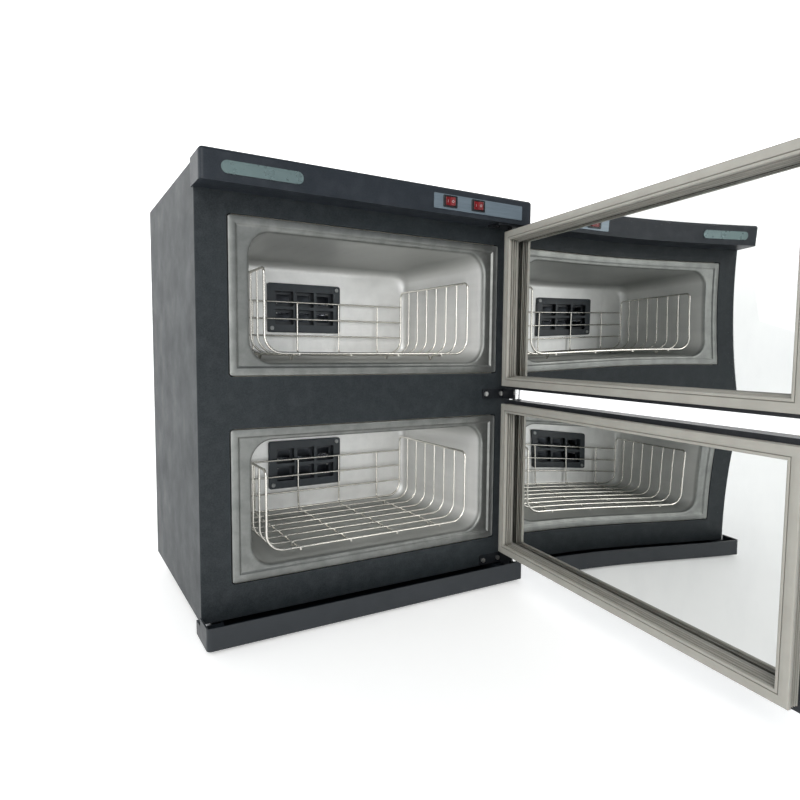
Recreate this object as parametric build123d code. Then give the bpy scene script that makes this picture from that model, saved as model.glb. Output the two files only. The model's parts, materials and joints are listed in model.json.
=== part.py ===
from build123d import *
import math
import os

# Two-chamber hot towel cabinet. Millimetres, +X to the viewer's right (hinge side),
# -Y towards the viewer, +Z up. The origin is the centre of the body's footprint,
# on the surface that the rubber feet rest on.

# ---- body shell ----
BODY_W = 450.0
BODY_D = 299.0
BODY_Z0 = 21.5           # bottom edge of the shell
BODY_Z1 = 540.0          # top of the shell
SHEET = 1.2              # shell sheet thickness
YF = -BODY_D / 2         # outer face of the front panel
YB = BODY_D / 2          # outer face of the back panel
HALF_W = BODY_W / 2

# ---- chambers ----
CHAMBER_BASES = {"upper": 320.5, "lower": 77.5}   # chamber floor heights
MOUTH_X0, MOUTH_X1 = -163.5, 174.5
MOUTH_H = 151.0
MOUTH_R = 27.0
CHAMBER_DEPTH = 212.0
SIDE_DRAFT = 5.0         # each side wall leans in by this at the back
TOP_DRAFT = 2.5
LINER_T = 1.0
FLANGE_X0, FLANGE_X1 = -188.5, 197.0
FLANGE_MARGIN_Z = 14.75  # flange beyond the mouth, above and below
FLANGE_T = 4.0
FLANGE_R = 3.0
RIM_W = 8.5              # flat outer band of the flange
STEP_DEPTH = 2.2         # inner band is sunk by this
STEP_BEVEL = 2.5
SHADOW_GAP = 1.2         # gap between the flange and the front panel
MOUTH_ROLL = 1.6         # rolled edge at the mouth

INSULATION_T = 16.0
INSULATION_GAP = 2.6     # leaves room for the heater pad and the thermostat foil
HEATER = (250.0, 150.0, 1.5)

# ---- lamp behind the chamber's back wall ----
LAMP_X = -15.0
LAMP_RISE = 80.0         # lamp centre above the chamber floor
COVER_W, COVER_H, COVER_T = 120.0, 74.5, 5.0
COVER_R = 4.0
WINDOW_W, WINDOW_H = 29.0, 23.0
WINDOW_PITCH_X, WINDOW_PITCH_Z = 33.5, 27.5
LEDGE = 4.5              # inner ledge round each window, at the back of the grille
GRILLE_DEPTH = 6.0       # the grille reaches this far behind the cover plate
COVER_SCREW = (53.5, 31.0)
LAMP_HOLE_W, LAMP_HOLE_H = 100.0, 54.0
HOUSING_DEPTH = 34.0
TUBE_R = 8.0
TUBE_LEN = 82.0

# ---- baskets ----
BASKET_X0, BASKET_X1 = -143.0, 155.0
BASKET_Y0, BASKET_Y1 = YF + 14.0, YF + 202.0
WIRE = 2.6
RAIL = 3.2
FLOOR_RISE = 11.5        # floor wires above the chamber floor
FENCE_H = 101.0          # side rails above the floor wires
FLOOR_BEND = 22.0
RAIL_BEND = 8.0
CROSS_X = (-99.0, -29.0, 41.0, 111.0)
BACK_RAILS = (26.0, 51.5, 77.0)
FOOT_GAP = 0.5

# ---- doors ----
DOOR_OPEN = 83.0         # how far the doors stand open at rest, degrees
HINGE_X, HINGE_Y = 214.5, YF - 28.0
DOOR_W, DOOR_H = 448.0, 223.0
DOOR_BASES = {"upper": 283.0, "lower": 44.0}
DOOR_Y0, DOOR_Y1 = YF - 36.0, YF - 14.0
BEZEL_X, BEZEL_Z = 21.5, 18.0       # width of the frame round the glass
GLASS_Y0, GLASS_Y1 = YF - 20.5, YF - 16.5
GLASS_LAP = 6.0
RETAINER_W = 7.0
GASKET_W, GASKET_H = 427.0, 213.6
GASKET_FACE = YF - 0.5
STRIP_W, STRIP_T = 12.0, 3.4
BUSH_R, BUSH_LEN = 5.0, 13.0
PIN_R = 3.0
PIN_CLEARANCE = 0.05

# ---- fascia, controls and drip tray ----
FASCIA_HALF_W = 227.0
FASCIA_Y0 = YF - 37.0
FASCIA_Y1 = YF + 5.0
FASCIA_Z0, FASCIA_Z1 = 511.0, 545.0
FASCIA_T = 1.5
PLATE_X0, PLATE_X1 = 62.0, 207.5
PLATE_Z0, PLATE_Z1 = 517.0, 535.8
PLATE_T = 0.8
SWITCHES = {"uv": 86.4, "heat": 131.2}
SWITCH_Z = 527.0
SWITCH_BEZEL = (21.5, 15.0, 1.8)
SWITCH_BARREL = (19.2, 12.8, 17.0)
SWITCH_POCKET = (15.4, 11.0, 9.5)
ROCKER_TILT = 10.0       # the rocker stands tilted by this, off side in
TRAY_Y0, TRAY_Y1 = YF - 35.0, YF + 39.0
TRAY_Z0, TRAY_ZF, TRAY_ZB = 4.0, 30.0, 19.5
TRAY_T = 2.0
TRAY_HALF_W = 226.5
TRAY_WING = 19.0         # the end walls reach this far back under the side panels
TRAY_WING_Z1 = 20.3


def block(x0, x1, y0, y1, z0, z1):
    """Axis-aligned block between the given planes."""
    centre = Location(((x0 + x1) / 2, (y0 + y1) / 2, (z0 + z1) / 2))
    return centre * Box(x1 - x0, y1 - y0, z1 - z0)


def slab(cx, cz, w, h, r, y0, y1):
    """Rounded rectangle standing in the XZ plane, from y0 back to y1."""
    face = RectangleRounded(w, h, r) if r > 0 else Rectangle(w, h)
    return Location((cx, y1, cz)) * extrude(Plane.XZ * face, amount=y1 - y0)


def rod(p, q, d):
    """Round rod between two points."""
    axis = Vector(*q) - Vector(*p)
    return Plane(origin=p, z_dir=axis) * Cylinder(
        d / 2, axis.length, align=(Align.CENTER, Align.CENTER, Align.MIN))


def upright(x, y, z0, z1, r):
    """Vertical cylinder."""
    return Location((x, y, z0)) * Cylinder(
        r, z1 - z0, align=(Align.CENTER, Align.CENTER, Align.MIN))


def along_y(x, z, y0, y1, r):
    """Cylinder along Y."""
    return rod((x, y0, z), (x, y1, z), 2 * r)


def bent_wire(points, radii, d):
    """Round wire through the points, each inner corner bent to its radius."""
    pts = [Vector(*p) for p in points]
    edges, start = [], pts[0]
    for before, corner, after, r in zip(pts, pts[1:], pts[2:], radii):
        u = (before - corner).normalized()
        v = (after - corner).normalized()
        half = math.radians(u.get_angle(v)) / 2
        run = r / math.tan(half)
        middle = corner + (u + v).normalized() * (r / math.sin(half) - r)
        edges.append(Line(start, corner + u * run))
        edges.append(ThreePointArc(corner + u * run, middle, corner + v * run))
        start = corner + v * run
    edges.append(Line(start, pts[-1]))
    first = (pts[1] - pts[0]).normalized()
    return sweep(Plane(origin=pts[0], z_dir=first) * Circle(d / 2), path=Wire(edges))


def screw_y(x, z, y_face, r=3.2, length=6.0):
    """Pan-head screw driven towards +Y, its head standing on the face y_face."""
    head = along_y(x, z, y_face - 1.8, y_face, r)
    head -= block(x - r, x + r, y_face - 2.0, y_face - 1.2, z - 0.4, z + 0.4)
    head -= block(x - 0.4, x + 0.4, y_face - 2.0, y_face - 1.2, z - r, z + r)
    return head + along_y(x, z, y_face, y_face + length, r / 2)


def save(node, shape):
    shape.label = node
    export_step(shape, f"parts/{node}.step")


# ---------------------------------------------------------------- body shell
def flange_box(base):
    """Centre and size of a liner's flange in XZ."""
    cx = (FLANGE_X0 + FLANGE_X1) / 2
    cz = base + MOUTH_H / 2
    return cx, cz, FLANGE_X1 - FLANGE_X0, MOUTH_H + 2 * FLANGE_MARGIN_Z


def front_panel():
    panel = block(-HALF_W, HALF_W, YF, YF + SHEET, BODY_Z0, BODY_Z1)
    panel = fillet(panel.edges().filter_by(Axis.Z).group_by(Axis.Y)[0], 0.9)
    for base in CHAMBER_BASES.values():
        cx, cz, w, h = flange_box(base)
        panel -= slab(cx, cz, w + 2 * SHADOW_GAP, h + 2 * SHADOW_GAP, FLANGE_R + SHADOW_GAP,
                      YF - 1, YF + SHEET + 1)
    for x, z in hinge_screw_points():
        panel -= along_y(x, z, YF - 1, YF + SHEET + 1, 1.8)
    # Return flanges behind each opening, which the liner flange is bolted against.
    for base in CHAMBER_BASES.values():
        cx, cz, w, h = flange_box(base)
        rim = slab(cx, cz, w + 14, h + 14, FLANGE_R + 7, YF + SHEET, YF + 2 * SHEET)
        panel += rim - slab(cx, cz, w + 2 * SHADOW_GAP, h + 2 * SHADOW_GAP, FLANGE_R + SHADOW_GAP,
                            YF, YF + 3 * SHEET)
    return panel


def side_panel(side):
    outer = side * HALF_W
    inner = side * (HALF_W - SHEET)
    x0, x1 = min(outer, inner), max(outer, inner)
    panel = block(x0, x1, YF + SHEET, YB, BODY_Z0, BODY_Z1)
    # Stiffening return along the bottom edge, pointing inwards.
    lip0, lip1 = sorted((inner, inner - side * 12))
    return panel + block(lip0, lip1, YF + 45, YB - SHEET, BODY_Z0 + SHEET, BODY_Z0 + 2 * SHEET)


def top_panel():
    half = HALF_W - SHEET
    return block(-half, half, YF + SHEET, YB - SHEET, BODY_Z1 - SHEET, BODY_Z1)


def bottom_panel():
    half = HALF_W - SHEET
    panel = block(-half, half, YF + SHEET, YB - SHEET, BODY_Z0, BODY_Z0 + SHEET)
    for i in range(-5, 6):
        x = i * 22.0
        panel -= block(x - 3, x + 3, YB - 70, YB - 30, BODY_Z0 - 1, BODY_Z0 + SHEET + 1)
    return panel


def back_panel():
    half = HALF_W - SHEET
    panel = block(-half, half, YB - SHEET, YB, BODY_Z0, BODY_Z1)
    for z in (120.0, 380.0):
        for row in range(6):
            for col in range(-2, 3):
                panel -= slab(col * 56.0, z + row * 13.0, 40.0, 4.0, 1.9, YB - 2 * SHEET, YB + 1)
    for x, z in back_screw_points():
        panel -= along_y(x, z, YB - 2 * SHEET, YB + 1, 1.8)
    panel -= along_y(GLAND_X, GLAND_Z, YB - 2 * SHEET, YB + 1, 8.2)
    return panel


def back_screw_points():
    half = HALF_W - 9
    xs = (-half, -half / 3, half / 3, half)
    points = [(x, z) for x in xs for z in (BODY_Z0 + 9, BODY_Z1 - 9)]
    return points + [(x, (BODY_Z0 + BODY_Z1) / 2) for x in (-half, half)]


def back_screws():
    screws = None
    for x, z in back_screw_points():
        one = screw_y(x, z, 0.0, r=3.4, length=5.0)
        one = Location((2 * x, YB, 0)) * (Rotation(0, 0, 180) * one)
        screws = one if screws is None else screws + one
    return screws


GLAND_X, GLAND_Z = 168.0, 62.0


def cord_gland():
    gland = along_y(GLAND_X, GLAND_Z, YB, YB + 9, 11.0)
    gland += along_y(GLAND_X, GLAND_Z, YB - 8, YB, 8.0)
    gland += along_y(GLAND_X, GLAND_Z, YB - 5, YB - SHEET, 11.5)
    return gland - along_y(GLAND_X, GLAND_Z, YB - 9, YB + 10, 4.0)


# ---------------------------------------------------------------- chambers
def chamber_space(base, grow, y0, y1):
    """Drawn space of a chamber between two depths, grown outwards by grow."""
    def outline(y):
        part = (y - YF) / CHAMBER_DEPTH
        x0 = MOUTH_X0 + SIDE_DRAFT * part - grow
        x1 = MOUTH_X1 - SIDE_DRAFT * part + grow
        z0 = base - grow
        z1 = base + MOUTH_H - TOP_DRAFT * part + grow
        face = Plane.XZ * RectangleRounded(x1 - x0, z1 - z0, MOUTH_R + grow)
        return Location(((x0 + x1) / 2, y, (z0 + z1) / 2)) * face
    return loft([outline(y0), outline(y1)])


def liner(base):
    cx, cz, w, h = flange_box(base)
    back = YF + CHAMBER_DEPTH
    flange = slab(cx, cz, w, h, FLANGE_R, YF, YF + FLANGE_T)
    # The inner band is sunk behind a bevelled step.
    iw, ih = w - 2 * RIM_W, h - 2 * RIM_W
    sunk = loft([
        Location((cx, YF, cz)) * (Plane.XZ * Rectangle(iw, ih)),
        Location((cx, YF + STEP_DEPTH, cz))
        * (Plane.XZ * Rectangle(iw - 2 * STEP_BEVEL, ih - 2 * STEP_BEVEL)),
    ])
    solid = (flange - sunk) + chamber_space(base, LINER_T, YF + STEP_DEPTH, back + LINER_T)
    solid -= chamber_space(base, 0, YF - 10, back)
    # Rolled edge where the inner band turns into the chamber.
    seat = YF + STEP_DEPTH
    solid -= chamber_flare(base, seat)
    solid -= slab(LAMP_X, base + LAMP_RISE, LAMP_HOLE_W, LAMP_HOLE_H, 3, back - 2, back + 3)
    for sx, sz in ((1, 1), (-1, -1)):
        solid -= along_y(LAMP_X + sx * COVER_SCREW[0], base + LAMP_RISE + sz * COVER_SCREW[1],
                         back - 2, back + 3, 1.6)
    return solid


def chamber_flare(base, seat):
    """Bevel round the mouth, widest at the flange."""
    cx = (MOUTH_X0 + MOUTH_X1) / 2
    cz = base + MOUTH_H / 2
    w, h = MOUTH_X1 - MOUTH_X0, MOUTH_H
    wide = RectangleRounded(w + 2 * MOUTH_ROLL, h + 2 * MOUTH_ROLL, MOUTH_R + MOUTH_ROLL)
    narrow = RectangleRounded(w - 0.2, h - 0.2, MOUTH_R)
    return loft([Location((cx, seat, cz)) * (Plane.XZ * wide),
                 Location((cx, seat + MOUTH_ROLL, cz)) * (Plane.XZ * narrow)])


def insulation(base):
    """Felt boards cut to size and fitted round the liner, each with a small joint to the next."""
    grow = LINER_T + INSULATION_GAP
    joint = 0.5
    y0, y1 = YF + FLANGE_T + 2, YF + CHAMBER_DEPTH + 10
    in0, in1 = MOUTH_X0 - grow, MOUTH_X1 + grow
    low, high = base - grow, base + MOUTH_H + grow
    out0, out1 = in0 - INSULATION_T, in1 + INSULATION_T
    zc = base + LAMP_RISE
    hx, hz = COVER_W / 2 + 5, COVER_H / 2 + 5
    side_y1, back0, back1 = y1 - joint, y1, y1 + INSULATION_T
    boards = [
        block(out0, out1, y0, side_y1, low - INSULATION_T, low),
        block(out0, out1, y0, side_y1, high, high + INSULATION_T),
        block(out0, in0, y0, side_y1, low + joint, high - joint),
        block(in1, out1, y0, side_y1, low + joint, high - joint),
        block(out0, out1, back0, back1, low - INSULATION_T, zc - hz - joint),
        block(out0, out1, back0, back1, zc + hz + joint, high + INSULATION_T),
        block(out0, LAMP_X - hx, back0, back1, zc - hz, zc + hz),
        block(LAMP_X + hx, THERMO_X - 24, back0, back1, zc - hz, zc + hz),
        block(THERMO_X + 24, out1, back0, back1, zc - hz, zc + hz),
    ]
    return Compound(children=boards)


THERMO_X = 108.0


def heater_pad(base):
    w, d, t = HEATER
    cx = (MOUTH_X0 + MOUTH_X1) / 2
    cy = YF + CHAMBER_DEPTH / 2
    top = base - LINER_T
    pad = block(cx - w / 2, cx + w / 2, cy - d / 2, cy + d / 2, top - t, top)
    return fillet(pad.edges().filter_by(Axis.Z), 6)


def thermostats():
    """Bimetal discs clipped on the back of each liner."""
    group = None
    for base in CHAMBER_BASES.values():
        y = YF + CHAMBER_DEPTH + LINER_T
        z = base + LAMP_RISE + 18
        one = along_y(THERMO_X, z, y, y + 9, 8.0)
        one += block(THERMO_X - 14, THERMO_X + 14, y, y + 1.2, z - 5, z + 5)
        for dx in (-4.0, 4.0):
            one += block(THERMO_X + dx - 0.5, THERMO_X + dx + 0.5, y + 9, y + 17, z - 3, z + 3)
        group = one if group is None else group + one
    return group


def thermal_fuses():
    group = None
    for base in CHAMBER_BASES.values():
        y = YF + CHAMBER_DEPTH + LINER_T
        z = base + LAMP_RISE - 16
        one = rod((THERMO_X - 9, y + 3, z), (THERMO_X + 9, y + 3, z), 6.0)
        one += block(THERMO_X - 3, THERMO_X + 3, y, y + 3, z - 5, z + 5)
        for s in (-1, 1):
            one += rod((THERMO_X + s * 9, y + 3, z), (THERMO_X + s * 18, y + 3, z), 1.4)
        group = one if group is None else group + one
    return group


# ---------------------------------------------------------------- lamps
def lamp_cover(base):
    y1 = YF + CHAMBER_DEPTH
    y0 = y1 - COVER_T
    zc = base + LAMP_RISE
    cover = slab(LAMP_X, zc, COVER_W, COVER_H, COVER_R, y0, y1)
    cover = fillet(cover.edges().group_by(Axis.Y)[0], 1.2)
    # Grille box behind the plate; each window is a deep well with a ledge at its back.
    grid_w, grid_h = 2 * WINDOW_PITCH_X + WINDOW_W + 2, WINDOW_PITCH_Z + WINDOW_H + 2
    cover += slab(LAMP_X, zc, grid_w, grid_h, 2.0, y1, y1 + GRILLE_DEPTH)
    for col in (-1, 0, 1):
        for row in (-0.5, 0.5):
            x, z = LAMP_X + col * WINDOW_PITCH_X, zc + row * WINDOW_PITCH_Z
            cover -= slab(x, z, WINDOW_W, WINDOW_H, 1.5, y0 - 1, y1 + GRILLE_DEPTH - 1.5)
            cover -= slab(x, z, WINDOW_W - 2 * LEDGE, WINDOW_H - 2 * LEDGE, 1.0,
                          y0 - 1, y1 + GRILLE_DEPTH + 1)
    for sx, sz in ((1, 1), (-1, -1)):
        x, z = LAMP_X + sx * COVER_SCREW[0], zc + sz * COVER_SCREW[1]
        cover -= along_y(x, z, y0 - 1, y1 + 1, 1.7)
        cover -= along_y(x, z, y0 - 1, y0 + 1.2, 3.6)
    return cover


def lamp_cover_screws():
    group = None
    y = YF + CHAMBER_DEPTH - COVER_T + 1.2
    for base in CHAMBER_BASES.values():
        for sx, sz in ((1, 1), (-1, -1)):
            one = screw_y(LAMP_X + sx * COVER_SCREW[0], base + LAMP_RISE + sz * COVER_SCREW[1], y,
                          r=3.0, length=7.0)
            group = one if group is None else group + one
    return group


def lamp_housing(base):
    """Folded reflector tray screwed to the back of the liner."""
    y0 = YF + CHAMBER_DEPTH + LINER_T
    zc = base + LAMP_RISE
    w, h = LAMP_HOLE_W + 4, LAMP_HOLE_H + 4
    tray = slab(LAMP_X, zc, w, h, 3, y0, y0 + HOUSING_DEPTH)
    tray -= slab(LAMP_X, zc, w - 2, h - 2, 2, y0 - 1, y0 + HOUSING_DEPTH - 1)
    return tray


def uv_lamp(base):
    y = YF + CHAMBER_DEPTH + LINER_T + 15
    z = base + LAMP_RISE
    half = TUBE_LEN / 2
    tube = rod((LAMP_X - half, y, z), (LAMP_X + half, y, z), 2 * TUBE_R)
    for s in (-1, 1):
        x = LAMP_X + s * half
        tube += rod((x - s * 10, y, z), (x, y, z), 2 * TUBE_R + 0.8)
        for dz in (-2.5, 2.5):
            tube += rod((x, y, z + dz), (x + s * 4, y, z + dz), 2.0)
    return tube


def lamp_holders():
    group = None
    for base in CHAMBER_BASES.values():
        y = YF + CHAMBER_DEPTH + LINER_T + 15
        z = base + LAMP_RISE
        for s in (-1, 1):
            x0, x1 = sorted((LAMP_X + s * (TUBE_LEN / 2 + 0.4), LAMP_X + s * (TUBE_LEN / 2 + 9)))
            one = block(x0, x1, y - 9, YF + CHAMBER_DEPTH + LINER_T + HOUSING_DEPTH - 1,
                        z - 8, z + 8)
            for dz in (-2.5, 2.5):
                one -= rod((x0 - 1, y, z + dz), (x1 + 1, y, z + dz), 2.2)
            group = one if group is None else group + one
    return group


def lamp_ballast():
    x, z = -120.0, 270.0
    body = block(x - 52, x + 52, YB - SHEET - 26, YB - SHEET - 1.2, z - 18, z + 18)
    body = fillet(body.edges().filter_by(Axis.X), 3)
    return body + block(x - 66, x + 66, YB - SHEET - 1.2, YB - SHEET, z - 12, z + 12)


def terminal_block():
    x, z = 168.0, 112.0
    body = block(x - 30, x + 30, YB - SHEET - 18, YB - SHEET, z - 9, z + 9)
    for i in range(5):
        cx = x - 24 + i * 12
        body -= along_y(cx, z + 4.5, YB - SHEET - 19, YB - SHEET - 8, 2.4)
        body -= along_y(cx, z - 4.5, YB - SHEET - 19, YB - SHEET - 8, 2.4)
    return body


# ---------------------------------------------------------------- fascia and controls
def top_fascia():
    fascia = block(-FASCIA_HALF_W, FASCIA_HALF_W, FASCIA_Y0, FASCIA_Y1, FASCIA_Z0, FASCIA_Z1)
    front = fascia.edges().group_by(Axis.Y)[0]
    fascia = fillet(front.filter_by(Axis.Z), 5)
    top_front = fascia.edges().group_by(Axis.Z)[-1].group_by(Axis.Y)[0]
    fascia = fillet(top_front, 4.5)
    inner = HALF_W + 0.3
    fascia -= block(-inner, inner, FASCIA_Y0 + FASCIA_T, FASCIA_Y1 + 1,
                    FASCIA_Z0 + FASCIA_T, FASCIA_Z1 - FASCIA_T - 0.6)
    fascia -= block(-inner, inner, YF, FASCIA_Y1 + 1, FASCIA_Z0 - 1, FASCIA_Z0 + FASCIA_T + 1)
    bw, bh, _ = SWITCH_BARREL
    for x in SWITCHES.values():
        fascia -= slab(x, SWITCH_Z, bw + 0.3, bh + 0.3, 0.5, FASCIA_Y0 - 1, FASCIA_Y0 + 5)
    for x in TOP_PLATE_SCREWS:
        fascia -= upright(x, YF - 22.0, FASCIA_Z0 - 1, FASCIA_Z0 + 3, 1.8)
    return fascia - upright(HINGE_X, HINGE_Y, FASCIA_Z0 - 1, FASCIA_Z0 + 3, PIN_R)


def control_plate():
    cx, cz = (PLATE_X0 + PLATE_X1) / 2, (PLATE_Z0 + PLATE_Z1) / 2
    plate = slab(cx, cz, PLATE_X1 - PLATE_X0, PLATE_Z1 - PLATE_Z0, 1.2,
                 FASCIA_Y0 - PLATE_T, FASCIA_Y0)
    bw, bh, _ = SWITCH_BARREL
    for x in SWITCHES.values():
        plate -= slab(x, SWITCH_Z, bw + 0.3, bh + 0.3, 0.5, FASCIA_Y0 - 2, FASCIA_Y0 + 1)
    return plate


def badge():
    """Blank capsule badge with a raised rim."""
    cx, cz = -158.7, 526.4
    w, h = 91.3, 13.6
    plate = slab(cx, cz, w, h, h / 2 - 0.1, FASCIA_Y0 - 1.2, FASCIA_Y0)
    return plate - slab(cx, cz, w - 2.6, h - 2.6, h / 2 - 1.4, FASCIA_Y0 - 2, FASCIA_Y0 - 0.8)


def switch_pivot(x):
    return x, FASCIA_Y0 - PLATE_T + 1.6


def switch_body(x):
    ew, eh, et = SWITCH_BEZEL
    bw, bh, bd = SWITCH_BARREL
    pw, ph, pd = SWITCH_POCKET
    y = FASCIA_Y0 - PLATE_T
    body = slab(x, SWITCH_Z, ew, eh, 1.2, y - et, y)
    body = fillet(body.edges().group_by(Axis.Y)[0], 0.6)
    body += slab(x, SWITCH_Z, bw, bh, 0.5, y, y + bd)
    body -= slab(x, SWITCH_Z, pw, ph, 0.6, y - et - 1, y + pd)
    px, py = switch_pivot(x)
    body -= upright(px, py, SWITCH_Z - ph / 2 - 0.8, SWITCH_Z + ph / 2 + 0.8, 1.05)
    for dx in (-5.5, 0.0, 5.5):
        body += block(x + dx - 0.4, x + dx + 0.4, y + bd, y + bd + 8, SWITCH_Z - 2.4, SWITCH_Z + 2.4)
    return body


def rocker(x):
    """Rocker cap turning about a vertical axle, tilted to its off side."""
    px, py = switch_pivot(x)
    half_w, half_h = 6.9, SWITCH_POCKET[1] / 2 - 0.35
    outline = Polyline((-half_w, -4.6), (0, -3.5), (half_w, -4.6), (half_w, 0.6), (3.2, 3.6),
                       (-3.2, 3.6), (-half_w, 0.6), close=True)
    cap = extrude(make_face(outline), amount=half_h, both=True)
    cap = fillet(cap.edges().filter_by(Axis.Z).group_by(Axis.Y)[0], 0.6)
    cap += Cylinder(1.0, 2 * half_h + 1.9)
    return Location((px, py, SWITCH_Z)) * (Rotation(0, 0, -ROCKER_TILT) * cap)


# ---------------------------------------------------------------- hinges
BRACKETS = {"middle": 275.0, "bottom": 29.4}
BRACKET_H = 14.0
BRACKET_T = 2.2
BRACKET_X0 = 173.0
ARM_X0, ARM_X1 = 209.2, 219.0
BRACKET_SCREWS = (178.6, 205.6)
TOP_PLATE_SCREWS = (178.0, 200.0)


def hinge_screw_points():
    return [(x, z) for z in BRACKETS.values() for x in BRACKET_SCREWS]


def hinge_bracket(z):
    """Plate on the front panel with an arm reaching forwards to the pin."""
    z0, z1 = z - BRACKET_H / 2, z + BRACKET_H / 2
    plate = block(BRACKET_X0, ARM_X1, YF - BRACKET_T, YF, z0, z1)
    arm = block(ARM_X0, ARM_X1, HINGE_Y + 3.0, YF, z0, z1)
    bracket = fillet((plate + arm).edges().filter_by(Axis.Y).group_by(Axis.X)[0], 1.5)
    bracket -= upright(HINGE_X, HINGE_Y, z0 - 1, z1 + 1, 5.03)
    for x in BRACKET_SCREWS:
        bracket -= along_y(x, z, YF - 5, YF + 1, 1.8)
    return bracket


def top_hinge_plate():
    plate = block(170.0, 222.0, YF - 35.0, YF - 9.0, FASCIA_Z0 - 2.6, FASCIA_Z0)
    plate = fillet(plate.edges().filter_by(Axis.Z), 3)
    plate -= upright(HINGE_X, HINGE_Y, FASCIA_Z0 - 5, FASCIA_Z0 + 1, PIN_R)
    for x in TOP_PLATE_SCREWS:
        plate -= upright(x, YF - 22.0, FASCIA_Z0 - 5, FASCIA_Z0 + 1, 1.8)
    return plate


def hinge_screws():
    group = None
    for x, z in hinge_screw_points():
        one = screw_y(x, z, YF - BRACKET_T, r=3.3, length=8.0)
        group = one if group is None else group + one
    for x in TOP_PLATE_SCREWS:
        one = Rotation(90, 0, 0) * screw_y(0, 0, 0.0, r=3.2, length=5.0)
        group += Location((x, YF - 22.0, FASCIA_Z0 - 2.6)) * one
    return group


def door_z(level):
    return DOOR_BASES[level], DOOR_BASES[level] + DOOR_H


def top_hinge_pin():
    _, z1 = door_z("upper")
    return upright(HINGE_X, HINGE_Y, z1 - 11.5, FASCIA_Z0, PIN_R)


def middle_hinge_pin():
    low, high = door_z("lower")[1], door_z("upper")[0]
    pin = upright(HINGE_X, HINGE_Y, low - 11.5, high + 11.5, PIN_R)
    return pin + upright(HINGE_X, HINGE_Y, low + 1.0, high - 1.0, 5.0)


def bottom_hinge_pin():
    low = door_z("lower")[0]
    pin = upright(HINGE_X, HINGE_Y, low - 5, low + 11.5, PIN_R)
    return pin + upright(HINGE_X, HINGE_Y, 31.2, low - 1.0, 5.0)


def hinge_washers():
    group = None
    gaps = [(door_z("lower")[0] - 0.95, door_z("lower")[0] - 0.05),
            (door_z("lower")[1] + 0.05, door_z("lower")[1] + 0.95),
            (door_z("upper")[0] - 0.95, door_z("upper")[0] - 0.05),
            (door_z("upper")[1] + 0.4, door_z("upper")[1] + 2.3)]
    for z0, z1 in gaps:
        one = upright(HINGE_X, HINGE_Y, z0, z1, 6.5) - upright(HINGE_X, HINGE_Y, z0 - 1, z1 + 1, 3.05)
        group = one if group is None else group + one
    return group


# ---------------------------------------------------------------- base
def rubber_feet():
    group = None
    for x in (-185.0, 185.0):
        for y in (YF + 66.0, YB - 34.0):
            foot = Location((x, y, BODY_Z0 / 2)) * Cone(13.0, 15.0, BODY_Z0)
            foot -= upright(x, y, -1, 8, 5.0)
            group = foot if group is None else group + foot
    return group


def tray_runners():
    """Angles under the bottom panel that carry the drip tray's side rims."""
    group = None
    for s in (-1, 1):
        x_out, x_in = s * 214.0, s * 204.0
        hang = block(*sorted((x_out, x_out - s * 1.2)), YF + 2, YF + 46, 9.0, BODY_Z0)
        shelf = block(*sorted((x_out, x_in)), YF + 2, YF + 46, 9.0, 10.2)
        tie = block(*sorted((x_out, x_in)), YF + 2, YF + 46, BODY_Z0 - 1.2, BODY_Z0)
        one = hang + shelf + tie
        group = one if group is None else group + one
    return group


def drip_tray():
    """Trough along the front edge; its back part tucks in under the body."""
    half = TRAY_HALF_W
    front = block(-half, half, TRAY_Y0, YF - 0.8, TRAY_Z0, TRAY_ZF)
    front = fillet(front.edges().filter_by(Axis.Z).group_by(Axis.Y)[0], 5)
    rear_half = 202.0
    rear = block(-rear_half, rear_half, YF - 0.8, TRAY_Y1, TRAY_Z0, TRAY_ZB)
    tray = front + rear
    tray -= block(-half + TRAY_T, half - TRAY_T, TRAY_Y0 + TRAY_T, YF - 0.8 - TRAY_T,
                  TRAY_Z0 + TRAY_T, TRAY_ZF + 1)
    # The wall between the two parts is cut down so that the pocket is one trough.
    tray -= block(-rear_half + TRAY_T, rear_half - TRAY_T, TRAY_Y0 + TRAY_T,
                  TRAY_Y1 - TRAY_T, TRAY_Z0 + TRAY_T, TRAY_ZF + 1)
    tray -= block(-half + TRAY_T, half - TRAY_T, YF - 4, YF + 1, TRAY_ZB, TRAY_ZF + 1)
    # End walls carried on under the side panels, and rims that ride on the runners.
    for s in (-1, 1):
        tray += block(*sorted((s * (half - TRAY_T), s * half)), YF - 2, YF + TRAY_WING, TRAY_Z0, TRAY_WING_Z1)
        tray += block(*sorted((s * (half - 9), s * half)), YF + TRAY_WING - TRAY_T, YF + TRAY_WING,
                      TRAY_Z0, TRAY_WING_Z1)
        tray += block(*sorted((s * rear_half, s * 211.5)), YF + 1, TRAY_Y1, 10.7, 12.7)
    return tray


# ---------------------------------------------------------------- doors
def ring(cz, w, h, border_x, border_z, r_out, r_in, y0, y1):
    outer = slab(0, cz, w, h, r_out, y0, y1)
    return outer - slab(0, cz, w - 2 * border_x, h - 2 * border_z, r_in, y0 - 1, y1 + 1)


def door_centre(level):
    return DOOR_BASES[level] + DOOR_H / 2


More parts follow.
